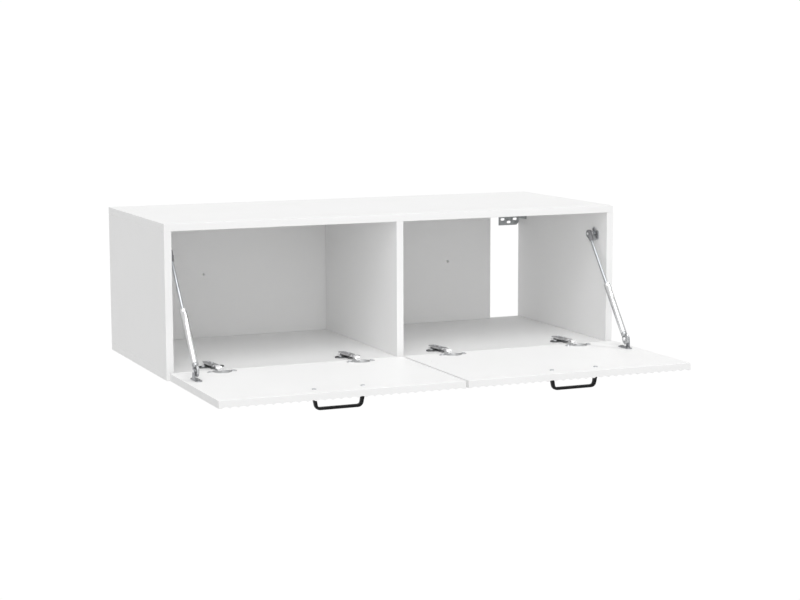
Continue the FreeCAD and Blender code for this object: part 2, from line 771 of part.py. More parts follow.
left_door = door()
cup_screws = [wood_screw(seat, up, hinge_screw_length)
              for x in hinge_places for seat in flange_screw_seats(x)]
foot_screws = [wood_screw(seat, up, short_screw_length) for seat in foot_screw_seats(strut_x)]
left_pieces = {
    "wall_bracket": [wall_bracket()],
    "strut_side_bracket": [side_bracket()],
    "door": [left_door],
    "handle": [handle(left_door)],
    "handle_screws": handle_screws(),
    "hinge_cups": [hinge_cup(x) for x in hinge_places],
    "hinge_cup_screws": cup_screws,
    "hinge_links": [hinge_link(x) for x in hinge_places],
    "strut_door_bracket": [foot_bracket()],
    "strut_door_screws": foot_screws,
    "strut_lower_fitting": [lower_fitting()],
    "strut_tube": [strut_tube()],
    "strut_rod": [strut_rod()],
    "strut_upper_fitting": [upper_fitting()],
    "strut_upper_pin": [upper_pin()],
}
for name, shapes in left_pieces.items():
    save(name + "_left", shapes)
    save(name + "_right", [mirrored(shape) for shape in shapes])
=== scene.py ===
import math

import bmesh
import bpy
import numpy as np
from mathutils import Matrix, Vector


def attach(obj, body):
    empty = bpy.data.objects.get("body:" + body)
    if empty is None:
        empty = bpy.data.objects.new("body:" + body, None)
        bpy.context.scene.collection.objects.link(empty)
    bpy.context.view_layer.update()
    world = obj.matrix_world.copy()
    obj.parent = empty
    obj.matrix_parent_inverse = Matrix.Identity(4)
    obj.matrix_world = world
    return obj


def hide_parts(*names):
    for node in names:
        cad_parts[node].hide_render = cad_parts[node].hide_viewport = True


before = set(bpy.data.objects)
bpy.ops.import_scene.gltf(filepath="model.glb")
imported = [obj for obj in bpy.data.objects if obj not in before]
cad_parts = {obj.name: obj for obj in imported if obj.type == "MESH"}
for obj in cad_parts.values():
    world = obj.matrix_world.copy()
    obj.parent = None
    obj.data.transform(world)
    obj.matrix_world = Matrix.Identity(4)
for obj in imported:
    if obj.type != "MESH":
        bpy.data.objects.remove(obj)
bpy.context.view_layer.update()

scene = bpy.context.scene

# Sizes that name a place on the cabinet are in millimetres in the cabinet's own frame: +X to the right,
# +Y into the wall, +Z up, from the wall plane at mid width and mid height.


# ---- Camera ----
# It stands in front of the cabinet's left end, a little above the top, and looks slightly down. Its
# lens is long, from four metres away.

camera = bpy.data.objects.new("camera", bpy.data.cameras.new("camera"))
camera.data.sensor_width = 36.0
camera.data.lens = 84.13
camera.data.clip_start = 0.1
camera.data.clip_end = 60.0
camera_place = Vector((-1.511925, -3.9223923, 0.5044257))
camera_yaw, camera_pitch, camera_roll = 0.4074, -0.1372, -0.0024   # in radians
forward = Vector((math.sin(camera_yaw) * math.cos(camera_pitch),
                  math.cos(camera_yaw) * math.cos(camera_pitch), math.sin(camera_pitch)))
level = Vector((math.cos(camera_yaw), -math.sin(camera_yaw), 0))
upright = level.cross(forward)
across = level * math.cos(camera_roll) + upright * math.sin(camera_roll)
upwards = upright * math.cos(camera_roll) - level * math.sin(camera_roll)
turn = Matrix((across, upwards, -forward)).transposed().to_4x4()
camera.matrix_world = Matrix.Translation(camera_place) @ turn
scene.collection.objects.link(camera)
scene.camera = camera


# ---- Studio ----
# A white room: even light from all round, a wide soft lamp in front on the left, another high in front, and
# one small lamp high on the right that draws the struts' shadows across the open doors. The pale floor lies
# well below the cabinet.

scene.view_settings.view_transform = "Standard"
white_strength = 1.02   # a little over 1, so that the background is pure white


def seen_as_white(nodes, links, lighting, output):
    """Plain white where it is looked at directly, and the given shader wherever it only lights the rest."""
    white = nodes.new("ShaderNodeBackground" if output.type == "OUTPUT_WORLD" else "ShaderNodeEmission")
    white.inputs["Color"].default_value = (1.0, 1.0, 1.0, 1.0)
    white.inputs["Strength"].default_value = white_strength
    ray = nodes.new("ShaderNodeLightPath")
    mix = nodes.new("ShaderNodeMixShader")
    links.new(ray.outputs["Is Camera Ray"], mix.inputs[0])
    links.new(lighting.outputs[0], mix.inputs[1])
    links.new(white.outputs[0], mix.inputs[2])
    links.new(mix.outputs[0], output.inputs["Surface"])


world = bpy.data.worlds.new("white_room")
world.use_nodes = True
room = world.node_tree
room_light = room.nodes["Background"]
room_light.inputs["Color"].default_value = (1.0, 1.0, 1.0, 1.0)
room_light.inputs["Strength"].default_value = 0.56
seen_as_white(room.nodes, room.links, room_light, room.nodes["World Output"])
scene.world = world


lamp_target = (0.0, -0.4, 0.0)
lamp_distance = 4.0


def lamp(name, azimuth, elevation, energy, spread):
    """A distant lamp aimed at the cabinet's front. Azimuth 0 is straight in front and positive is to the
    right; spread is how much of the sky it fills. All three angles are in degrees."""
    turn, lift = math.radians(azimuth), math.radians(elevation)
    place = (lamp_distance * math.sin(turn) * math.cos(lift),
             lamp_target[1] - lamp_distance * math.cos(turn) * math.cos(lift),
             lamp_distance * math.sin(lift))
    data = bpy.data.lights.new(name, "SUN")
    data.energy = energy
    data.angle = math.radians(spread)
    body = bpy.data.objects.new(name, data)
    aim = Vector(lamp_target) - Vector(place)
    body.matrix_world = Matrix.Translation(place) @ aim.to_track_quat("-Z", "Y").to_matrix().to_4x4()
    scene.collection.objects.link(body)


lamp("front_soft_box", azimuth=-30.0, elevation=26.0, energy=0.8, spread=75.0)
lamp("overhead_soft_box", azimuth=-10.0, elevation=57.0, energy=0.86, spread=45.0)
lamp("high_right_lamp", azimuth=90.0, elevation=59.0, energy=0.65, spread=2.5)

floor = bpy.data.objects.new("floor", bpy.data.meshes.new("floor"))
floor_reach, floor_level = 30.0, -0.9
floor.data.from_pydata([(x, y, floor_level) for x, y in
                        ((-floor_reach, -floor_reach), (floor_reach, -floor_reach),
                         (floor_reach, floor_reach), (-floor_reach, floor_reach))], [], [(0, 1, 2, 3)])
scene.collection.objects.link(floor)


def finish_of(name, colour, metallic, roughness, **constants):
    """A Principled material; constants are further inputs of its shader, with _ for each space."""
    material = bpy.data.materials.new(name)
    material.use_nodes = True
    shader = material.node_tree.nodes["Principled BSDF"]
    shader.inputs["Base Color"].default_value = (*colour, 1.0)
    shader.inputs["Metallic"].default_value = metallic
    shader.inputs["Roughness"].default_value = roughness
    for key, value in constants.items():
        shader.inputs[key.replace("_", " ")].default_value = value
    return material


pale_floor = finish_of("pale_floor", (0.6, 0.6, 0.6), 0.0, 0.9)
floor_tree = pale_floor.node_tree
seen_as_white(floor_tree.nodes, floor_tree.links,
              floor_tree.nodes["Principled BSDF"], floor_tree.nodes["Material Output"])
floor.data.materials.append(pale_floor)


# ---- Cabinet boards ----
# Seven 15 mm boards faced and edged in white satin laminate: top, bottom, two sides, the divider and
# two short backs, doweled together with every edge slightly eased.

def unevenness(material, scale, spread=(1.0, 1.0, 1.0), detail=3.0):
    """Noise over the piece's own coordinates; a larger spread makes it finer along that axis."""
    nodes, links = material.node_tree.nodes, material.node_tree.links
    place = nodes.new("ShaderNodeTexCoord")
    stretch = nodes.new("ShaderNodeMapping")
    stretch.inputs["Scale"].default_value = spread
    noise = nodes.new("ShaderNodeTexNoise")
    noise.inputs["Scale"].default_value = scale
    noise.inputs["Detail"].default_value = detail
    links.new(place.outputs["Object"], stretch.inputs["Vector"])
    links.new(stretch.outputs["Vector"], noise.inputs["Vector"])
    return noise.outputs["Fac"]


noise_low, noise_high = 0.3, 0.7   # nearly all of the noise's values lie between these


def vary_roughness(material, pattern, low, high):
    """Roughness that follows a pattern, from low to high."""
    nodes, links = material.node_tree.nodes, material.node_tree.links
    span = nodes.new("ShaderNodeMapRange")
    span.inputs["From Min"].default_value = noise_low
    span.inputs["From Max"].default_value = noise_high
    span.inputs["To Min"].default_value = low
    span.inputs["To Max"].default_value = high
    links.new(pattern, span.inputs["Value"])
    links.new(span.outputs["Result"], nodes["Principled BSDF"].inputs["Roughness"])


def vary_colour(material, pattern, dark, light):
    """Colour that follows a pattern, from dark to light."""
    nodes, links = material.node_tree.nodes, material.node_tree.links
    ramp = nodes.new("ShaderNodeValToRGB")
    for stop, place, colour in zip(ramp.color_ramp.elements, (noise_low, noise_high), (dark, light)):
        stop.position = place
        stop.color = (*colour, 1.0)
    links.new(pattern, ramp.inputs["Fac"])
    links.new(ramp.outputs["Color"], nodes["Principled BSDF"].inputs["Base Color"])


def raise_surface(material, pattern, height):
    """A fine relief that follows a pattern; height is in metres."""
    nodes, links = material.node_tree.nodes, material.node_tree.links
    relief = nodes.new("ShaderNodeBump")
    relief.inputs["Distance"].default_value = height
    relief.inputs["Strength"].default_value = 1.0
    links.new(pattern, relief.inputs["Height"])
    links.new(relief.outputs["Normal"], nodes["Principled BSDF"].inputs["Normal"])


white_laminate = finish_of("white_satin_laminate", (0.94, 0.94, 0.938), 0.0, 0.42, Specular_IOR_Level=0.35)
vary_colour(white_laminate, unevenness(white_laminate, 9.0), (0.934, 0.934, 0.931), (0.948, 0.948, 0.947))
vary_roughness(white_laminate, unevenness(white_laminate, 60.0, detail=5.0), 0.38, 0.48)
raise_surface(white_laminate, unevenness(white_laminate, 900.0), 0.00004)


def dress(node, material):
    """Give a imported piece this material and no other."""
    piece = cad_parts[node]
    piece.data.materials.clear()
    piece.data.materials.append(material)


for board in ("top_panel", "bottom_panel", "side_panel_left", "side_panel_right", "centre_divider",
              "back_panel_left", "back_panel_right"):
    dress(board, white_laminate)


# ---- Dowels ----
# Beech dowels, 8 mm thick, glued 21 mm into the ends of the upright boards and 9 mm into the top and
# bottom panels. They are hidden inside.

beech = finish_of("raw_beech", (0.62, 0.43, 0.26), 0.0, 0.7)
beech_grain = unevenness(beech, 60.0, spread=(9.0, 9.0, 1.0), detail=6.0)
vary_colour(beech, beech_grain, (0.5, 0.33, 0.19), (0.7, 0.5, 0.32))
raise_surface(beech, beech_grain, 0.0002)
dress("dowels", beech)


# ---- Doors ----
# Two drop-down doors of the same white board. The outer face is cut with round flutes from the
# hinged edge to the free edge and lies underneath while the door is open.

for side in ("left", "right"):
    dress("door_" + side, white_laminate)


# ---- Handles ----
# A cast bow handle on each door's outer face, in black satin powder coat, held by two screws
# that pass through the door from inside.

def softened(corners, radius, steps=5, closed=False):
    """A line through the corners with each one rounded: it leaves the straight one radius before the
    corner c, at a, and rejoins it one radius after, at b, along (1-t)^2 a + 2t(1-t) c + t^2 b."""
    corners = np.asarray(corners, float)
    shape = corners.shape[:-2] + (-1, corners.shape[-1])

    def towards(other):
        """From each corner, one radius along the line to its neighbour, or half way if that is nearer."""
        gap = other - corners
        return corners + gap * np.minimum(radius / np.linalg.norm(gap, axis=-1, keepdims=True), 0.5)

    t = np.linspace(0.0, 1.0, steps)[:, None]
    a = towards(np.roll(corners, 1, axis=-2))[..., None, :]
    b = towards(np.roll(corners, -1, axis=-2))[..., None, :]
    line = (1 - t) ** 2 * a + 2 * t * (1 - t) * corners[..., None, :] + t ** 2 * b
    if closed:
        return line.reshape(shape)
    between = line[..., 1:-1, :, :].reshape(shape)
    return np.concatenate([corners[..., :1, :], between, corners[..., -1:, :]], axis=-2)


def capped(rows):
    """The same rows with flat ends: the first and the last are each drawn in to their centre."""
    first, last = rows[:1], rows[-1:]
    return np.concatenate([np.broadcast_to(first.mean(axis=1, keepdims=True), first.shape), rows,
                           np.broadcast_to(last.mean(axis=1, keepdims=True), last.shape)])


def carried(section, path, facing, width, thickness):
    """A closed section carried along a path. At each path point the section's first number, times the
    width there, is laid along facing; its second, times the thickness there, at right angles to path
    and facing."""
    along = np.gradient(path, axis=0)
    along /= np.linalg.norm(along, axis=1, keepdims=True)
    outward = np.cross(facing, along)
    return (path[:, None] + section[None, :, :1] * width[:, None, None] * facing
            + section[None, :, 1:] * thickness[:, None, None] * outward[:, None])


def mirror_of(patches):
    """The patches reflected in the cabinet's middle plane."""
    return [(points * np.array([-1.0, 1.0, 1.0]), rows, columns) for points, rows, columns in patches]


millimetre = 0.001
crease_angle = 35.0


def made_piece(name, patches, material, body, replaced):
    """One mesh from grids of points in millimetres. Each patch is its points, and whether its rows and its
    columns run round to meet their start. Neighbouring points are joined by four-sided faces."""
    corners, faces, start = [], [], 0
    for points, rows_meet, columns_meet in patches:
        index = np.arange(points.shape[0] * points.shape[1]).reshape(points.shape[:2]) + start
        index = np.vstack([index, index[:1]]) if rows_meet else index
        index = np.hstack([index, index[:, :1]]) if columns_meet else index
        faces.append(np.stack([index[:-1, :-1], index[:-1, 1:], index[1:, 1:], index[1:, :-1]], axis=-1))
        corners.append(points.reshape(-1, 3) * millimetre)
        start += corners[-1].shape[0]
    mesh = bpy.data.meshes.new(name)
    quads = np.vstack([patch_faces.reshape(-1, 4) for patch_faces in faces])
    mesh.from_pydata(np.vstack(corners).tolist(), [], quads.tolist())
    tidy = bmesh.new()
    tidy.from_mesh(mesh)
    bmesh.ops.remove_doubles(tidy, verts=tidy.verts, dist=1e-6)
    bmesh.ops.dissolve_degenerate(tidy, edges=tidy.edges, dist=1e-7)
    bmesh.ops.recalc_face_normals(tidy, faces=tidy.faces)
    tidy.to_mesh(mesh)
    tidy.free()
    mesh.shade_smooth()
    mesh.set_sharp_from_angle(angle=math.radians(crease_angle))
    mesh.materials.append(material)
    piece = bpy.data.objects.new(name, mesh)
    scene.collection.objects.link(piece)
    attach(piece, body)
    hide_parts(*replaced)


black_coat = finish_of("black_powder_coat", (0.01, 0.01, 0.011), 0.0, 0.4, Specular_IOR_Level=0.25)
vary_roughness(black_coat, unevenness(black_coat, 300.0), 0.34, 0.5)
raise_surface(black_coat, unevenness(black_coat, 1600.0), 0.00006)

door_middle, door_under, flute_depth = 250.25, -152.5, 2.4
handle_span, handle_line, handle_reach, handle_lean = 98.0, -707.0, 25.0, 4.5
handle_leg, handle_bar, handle_breadth, handle_bend = 7.0, 5.5, 10.0, 8.0

bow_foot = handle_span / 2 + flute_depth * handle_lean / handle_reach
bow_half = handle_span / 2 - handle_lean * (1 - handle_bar / 2 / handle_reach)
bow_low = door_under - handle_reach + handle_bar / 2
bow_top = door_under + flute_depth
bow_path = softened([(-bow_foot, handle_line, bow_top), (-bow_half, handle_line, bow_low),
                     (bow_half, handle_line, bow_low), (bow_foot, handle_line, bow_top)],
                    handle_bend, steps=14)
in_bar = np.clip((door_under - bow_path[:, 2]) / (handle_reach - handle_bar / 2), 0.0, 1.0)
bow_thickness = handle_leg + (handle_bar - handle_leg) * in_bar
bow_width = np.full(len(bow_path), handle_breadth)
bow_section = softened([(-0.5, -0.5), (0.5, -0.5), (0.5, 0.5), (-0.5, 0.5)], 0.28, steps=7, closed=True)
bow = capped(carried(bow_section, bow_path, np.array([0.0, 1.0, 0.0]), bow_width, bow_thickness))
for side, sign in (("left", -1), ("right", 1)):
    made_piece("bow_handle_" + side, [(bow + np.array([sign * door_middle, 0.0, 0.0]), False, True)],
               black_coat, "door_" + side, ["handle_" + side])


# ---- Handle screws ----
# Pan-head steel screws with a cross recess, zinc plated. They run down through the door into the
# handle's legs.

zinc_screw = finish_of("zinc_plated_screw", (0.62, 0.63, 0.65), 1.0, 0.35)
vary_roughness(zinc_screw, unevenness(zinc_screw, 700.0), 0.28, 0.46)
raise_surface(zinc_screw, unevenness(zinc_screw, 2400.0), 0.00002)


def axes_about(direction):
    """Two unit directions at right angles to the given one and to each other."""
    direction = np.asarray(direction, float)
    helper = np.array([1.0, 0.0, 0.0]) if abs(direction[0]) < 0.9 else np.array([0.0, 1.0, 0.0])
    first = np.cross(direction, helper)
    first /= np.linalg.norm(first)
    return first, np.cross(direction, first)


def turned(profile, start, direction, sides=48):
    """A turned surface. Each (along, radius) pair of the profile is carried round the axis from start:
    point = start + along * axis + radius * (cos a * first + sin a * second)."""
    profile = np.asarray(profile, float)
    direction = np.asarray(direction, float)
    first, second = axes_about(direction)
    angle = np.linspace(0.0, 2 * np.pi, sides, endpoint=False)[:, None]
    ring = np.cos(angle) * first + np.sin(angle) * second
    return np.asarray(start, float) + profile[:, None, :1] * direction + profile[:, None, 1:] * ring


def screw_at(seat, outward, length, head=3.5, rise=1.6, shank=1.75):
    """A pan-head screw. Its rows run from the tip up the shank, round the head's rim and over the crown,
    which sinks by the recess's depth wherever a point is within the cross's half width of either bar
    and inside its reach."""
    crown = head * np.linspace(0.72, 0.0, 12)
    point_and_rim = [(-length, 0.0), (1.5 - length, shank * 0.7), (3.0 - length, shank), (0.0, shank),
                     (0.0, head), (rise * 0.35, head), (rise * 0.72, head * 0.95),
                     (rise * 0.93, head * 0.84)]
    profile = np.vstack([point_and_rim, np.column_stack([np.full(crown.size, rise), crown])])
    points = turned(profile, (0.0, 0.0, 0.0), outward)
    first, second = axes_about(outward)
    u, v = np.abs(points @ first), np.abs(points @ second)
    bar_half, bar_edge, bar_reach, reach_edge = head * 0.16, head * 0.07, head * 0.58, head * 0.1
    in_bar = np.clip((bar_half - np.minimum(u, v)) / bar_edge, 0.0, 1.0)
    in_reach = np.clip((bar_reach - np.hypot(u, v)) / reach_edge, 0.0, 1.0)
    on_crown = profile[:, :1] > rise * 0.98
    sink = in_bar * in_reach * on_crown * min(0.9, rise * 0.6)
    return points - sink[..., None] * np.asarray(outward, float) + np.asarray(seat, float), False, True


door_inner, handle_screw_length = -137.5, 20.0
for side, sign in (("left", -1), ("right", 1)):
    heads = [screw_at((sign * door_middle + end * handle_span / 2, handle_line, door_inner), (0, 0, 1),
                      handle_screw_length, head=4.4, rise=1.8, shank=2.0) for end in (-1, 1)]
    made_piece("door_handle_screws_" + side, heads, zinc_screw, "door_" + side,
               ["handle_screws_" + side])


# ---- Wall brackets ----
# A pressed steel angle in each top rear corner: four screws fix its short leg to the side board and the
# slotted leg takes the wall screws. Dark zinc plate.

dark_zinc = finish_of("dark_zinc_plate", (0.48, 0.495, 0.505), 1.0, 0.45)
vary_roughness(dark_zinc, unevenness(dark_zinc, 260.0), 0.38, 0.55)
raise_surface(dark_zinc, unevenness(dark_zinc, 1500.0), 0.00003)
for side in ("left", "right"):
    dress("wall_bracket_" + side, dark_zinc)

side_inner, side_sheet, side_screw_length = -485.0, 2.0, 11.0
angle_screw_setbacks, angle_screw_heights = (-12.0, -31.0), (126.25, 104.75)
bracket_screws = [screw_at((side_inner + side_sheet, y, z), (1, 0, 0), side_screw_length)
                  for y in angle_screw_setbacks for z in angle_screw_heights]
made_piece("angle_bracket_screws", bracket_screws + mirror_of(bracket_screws), zinc_screw, "carcass",
           ["wall_bracket_screws"])


# ---- Hinge mounting plates ----
# Winged plates of nickel-plated steel, two to a door, screwed to the bottom board just inside its
# front edge. The hinge arm slides over the raised spine. Their very dark grey colour and near-black
# edges are painted shade under the arms and painted dark reflections.

# Painted shade: the plate's colour is set far darker than nickel, and its edge tint near-black, to stand in
# for shade under the hinge arms and dark reflections.
nickel_darkened_as_shade = finish_of("nickel_plate_painted_shade", (0.26, 0.265, 0.27), 1.0, 0.36,
                        Specular_Tint=(0.2, 0.2, 0.2, 1.0))
vary_roughness(nickel_darkened_as_shade, unevenness(nickel_darkened_as_shade, 400.0), 0.3, 0.46)
raise_surface(nickel_darkened_as_shade, unevenness(nickel_darkened_as_shade, 1500.0), 0.00002)
dress("hinge_mounting_plates", nickel_darkened_as_shade)

floor_level_inside, cabinet_front = -140.0, -420.0
hinge_line = (-397.5, -103.0)
plate_screw_half, plate_screw_setback, plate_wing, plate_screw_length = 16.0, 37.0, 2.0, 10.0
plate_screws = [screw_at((x + end * plate_screw_half, cabinet_front + plate_screw_setback,
                          floor_level_inside + plate_wing), (0, 0, 1), plate_screw_length)
                for x in hinge_line for end in (-1, 1)]
made_piece("mounting_plate_screws", plate_screws + mirror_of(plate_screws), zinc_screw, "carcass",
           ["hinge_plate_screws"])


# ---- Hinge arms ----
# Pressed channels of nickel-plated steel over the mounting plates. The top slopes down to the rear, the
# sides draw in at both ends, and a narrow nose at the front carries the link's pivot.

def slab(outline, origin, u, v, rise, ease=0.3):
    """A plate: an outline in the directions u and v, given thickness along rise. Its two edges are drawn
    in by the ease, along the outline's own normals, and both faces are closed."""
    outline = np.asarray(outline, float)
    run = np.roll(outline, -1, axis=0) - np.roll(outline, 1, axis=0)
    inward = np.column_stack([-run[:, 1], run[:, 0]]) / np.linalg.norm(run, axis=1, keepdims=True)
    inward *= np.sign(np.sum(outline[:, 0] * run[:, 1] - outline[:, 1] * run[:, 0]))
    rise = np.asarray(rise, float)
    step = ease / np.linalg.norm(rise)
    flat = np.stack([outline + inward * ease, outline, outline, outline + inward * ease])
    heights = np.array([0.0, step, 1.0 - step, 1.0])[:, None, None] * rise
    u, v = np.asarray(u, float), np.asarray(v, float)
    points = np.asarray(origin, float) + flat[..., :1] * u + flat[..., 1:] * v
    return capped(points + heights), False, True


def round_ended(half_length, radius, steps=16):
    """The outline of a round-ended bar, centred, as two half circles joined by straight sides."""
    angle = np.linspace(-np.pi / 2, np.pi / 2, steps)
    end = np.column_stack([half_length + radius * np.cos(angle), radius * np.sin(angle)])
    return np.vstack([end, -end])


arm_setback = np.array([1.2, 1.8, 3.5, 7.0, 12.0, 21.0, 30.0, 40.0, 50.0, 60.0, 67.0, 72.0, 75.0, 76.0])
arm_half = np.array([5.6, 6.2, 6.8, 7.0, 7.0, 7.0, 7.0, 6.9, 6.8, 6.6, 6.5, 6.2, 5.7, 5.3])
arm_top = np.array([9.7, 10.2, 10.6, 10.6, 10.3, 9.9, 9.5, 9.1, 8.7, 8.2, 7.8, 7.2, 6.5, 6.0])
arm_foot = np.where(arm_setback < 20.0, 6.2, 4.5)
arm_sheet, arm_least_side = 1.3, 1.4
front_plate_setback, front_plate_sheet = 1.3, 1.4
nose_place, nose_radius, nose_half, nose_reach = np.array([-427.5, -134.0]), 2.3, 3.0, 5.0


def arm_at(x):
    """A pressed channel. Each row is an inverted U of the sheet's thickness, as wide and as tall as the
    arm is at that setback; the rows run from the front edge to the rear."""
    outer_x, inner_x = arm_half, arm_half - arm_sheet
    top, under_top = arm_top, np.maximum(arm_top - arm_sheet, arm_foot + 0.2)
    low = np.minimum(arm_foot, top - arm_least_side)
    outside = ((-outer_x, low), (-outer_x, top), (outer_x, top), (outer_x, low))
    inside = ((inner_x, low), (inner_x, under_top), (-inner_x, under_top), (-inner_x, low))
    ring = np.stack([np.stack(pair, axis=-1) for pair in outside + inside], axis=1)
    bends = np.array([0.3, 2.4, 2.4, 0.3, 0.3, 1.2, 1.2, 0.3])[:, None]
    line = softened(ring, bends, steps=6, closed=True)
    setback = np.broadcast_to((cabinet_front + arm_setback)[:, None, None], line[..., :1].shape)
    rows = np.concatenate([x + line[..., :1], setback, floor_level_inside + line[..., 1:]], axis=-1)
    half = rows.shape[1] // 2
    ends = [(np.stack([rows[end, :half], rows[end, :half - 1:-1]]), False, False) for end in (0, -1)]
    front = slab(line[1, :half], (x, cabinet_front + front_plate_setback, floor_level_inside),
                 (1, 0, 0), (0, 0, 1), (0, front_plate_sheet, 0))
    nose = slab(round_ended(nose_reach, nose_radius),
                (x - nose_half, nose_place[0] + nose_reach, nose_place[1]), (0, 1, 0), (0, 0, 1),
                (2 * nose_half, 0, 0), ease=0.5)
    return [(rows, False, True), front, nose] + ends


# Painted reflection: the grey edge tint darkens the arm's outlines, standing in for dark reflections along
# its edges.
nickel = finish_of("nickel_plate_painted_dark_edges", (0.76, 0.76, 0.77), 1.0, 0.32,
                   Specular_Tint=(0.5, 0.5, 0.5, 1.0))
vary_roughness(nickel, unevenness(nickel, 400.0), 0.26, 0.4)
raise_surface(nickel, unevenness(nickel, 1800.0), 0.00002)
arms = [patch for x in hinge_line for patch in arm_at(x)]
made_piece("hinge_arm_channels", arms + mirror_of(arms), nickel, "carcass", ["hinge_arms"])

arm_screw_setbacks, arm_screw_sink, arm_screw_length = (29.0, 55.0), 0.1, 3.4
arm_screws = []
for x in hinge_line:
    for setback in arm_screw_setbacks:
        height = floor_level_inside + np.interp(setback, arm_setback, arm_top) - arm_screw_sink
        arm_screws.append(screw_at((x, cabinet_front + setback, height), (0, 0, 1), arm_screw_length))
made_piece("arm_adjusting_screws", arm_screws + mirror_of(arm_screws), zinc_screw, "carcass",
           ["hinge_adjusting_screws"])


# ---- Hinge cups ----
# Drawn steel cups let into 35 mm bores near each door's hinged edge. The flange is a round-ended bar that
# swells round the cup, and two screws hold it down.

cup_line, cup_radius, cup_depth, cup_wall, flange_rise = -456.0, 17.5, 11.3, 0.8, 1.2
flange_end, flange_bar, flange_rim, flange_lift = 24.0, 6.5, 19.0, 0.02
flange_blend, flange_screw_length = 14, 10.0


def cup_at(x):
    """A drawn cup and flange in polar form. Each row has a height and either its own radius or a step from
    the flange's outline, which at angle a is nearly the greater of the rim's radius and the round-ended
    bar's reach: (rim^n + reach^n)^(1/n), with a high n."""
    angle = np.linspace(0.0, 2 * np.pi, 96, endpoint=False)
    cosine, sine = np.abs(np.cos(angle)), np.abs(np.sin(angle))
    by_side = flange_bar / np.maximum(sine, 1e-6)
    by_end = flange_end * cosine + np.sqrt(np.maximum(flange_bar ** 2 - (flange_end * sine) ** 2, 0.0))
    bar_reach = np.where(by_side * cosine <= flange_end, by_side, by_end)
    outline = (flange_rim ** flange_blend + bar_reach ** flange_blend) ** (1 / flange_blend)
    inside = cup_radius - cup_wall
    bowl = [(0.0, cup_wall - cup_depth), (inside - 4.0, cup_wall - cup_depth),
            (inside - 1.6, 1.4 - cup_depth), (inside - 0.4, 2.8 - cup_depth), (inside, 5.0 - cup_depth),
            (inside, 0.2), (inside + 0.3, 0.85), (inside + 1.0, flange_rise)]
    flange_edge = [(0.5, flange_rise), (0.12, 0.95), (0.0, 0.5), (0.0, flange_lift)]
    outer_wall = [(cup_radius, flange_lift), (cup_radius, 1.0 - cup_depth),
                  (cup_radius - 1.0, -cup_depth), (0.0, -cup_depth)]
    rows = [(np.full_like(angle, radius), height) for radius, height in bowl]
    rows += [(outline - step, height) for step, height in flange_edge]
    rows += [(np.full_like(angle, radius), height) for radius, height in outer_wall]
    radius = np.stack([row for row, _ in rows])
    height = np.array([level for _, level in rows])[:, None]
    return np.stack([x + radius * np.cos(angle), cup_line + radius * np.sin(angle),
                     door_inner + height + 0 * radius], axis=-1), False, True


# Painted reflection: the grey edge tint darkens the cups' rims and inner walls, standing in for dark
# reflections there.
satin_nickel = finish_of("satin_nickel_painted_dark_edges", (0.7, 0.705, 0.71), 0.9, 0.42,
                         Specular_Tint=(0.4, 0.4, 0.4, 1.0))
vary_roughness(satin_nickel, unevenness(satin_nickel, 300.0), 0.36, 0.5)
raise_surface(satin_nickel, unevenness(satin_nickel, 1500.0), 0.00002)
cups = [cup_at(x) for x in hinge_line]
cup_screws = [screw_at((x + end * flange_end, cup_line, door_inner + flange_rise), (0, 0, 1),
                       flange_screw_length) for x in hinge_line for end in (-1, 1)]
both_sides = (("left", list), ("right", mirror_of))
for side, turn_over in both_sides:
    made_piece("drawn_hinge_cups_" + side, turn_over(cups), satin_nickel, "door_" + side,
               ["hinge_cups_" + side])
    made_piece("cup_flange_screws_" + side, turn_over(cup_screws), zinc_screw, "door_" + side,
               ["hinge_cup_screws_" + side])


# ---- Hinge links ----
# Each link is two arched cheeks, from the pin through the arm's nose to a barrel inside the cup, under one
# bright crowned hood. The hood's near-white, mostly non-metallic colour is partly its bright plating and
# partly a painted highlight.

link_end = np.array([-441.4, -136.85])
link_sag, cheek_gap, cheek_sheet, cheek_depth = 5.0, 3.3, 0.9, 1.8
hood_half, hood_crown, hood_sheet, hood_lift, hood_from, hood_to = 6.5, 1.6, 0.9, 0.3, 0.26, 0.9
nose_pin_radius, barrel_radius, pin_overhang = 1.2, 1.3, 0.3

chord = link_end - nose_place
arch_radius = (chord @ chord / 4 + link_sag ** 2) / (2 * link_sag)
arch_up = np.array([chord[1], -chord[0]]) / np.linalg.norm(chord)
arch_centre = (nose_place + link_end) / 2 - arch_up * (arch_radius - link_sag)


def on_arch(share, lift):
    """Points (Y, Z) on the link's arch: share 0 is the nose's pin and 1 the barrel, and lift is how far
    out they stand. Centre + (radius + lift) * (cos a, sin a), with a going evenly from pin to barrel."""
    spokes = np.stack([nose_place, link_end]) - arch_centre
    start, end = np.arctan2(spokes[:, 1], spokes[:, 0]) % (2 * np.pi)
    angle = start + (end - start) * share
    spoke = np.stack([np.cos(angle), np.sin(angle)], axis=-1)
    return arch_centre + (arch_radius + lift)[..., None] * spoke


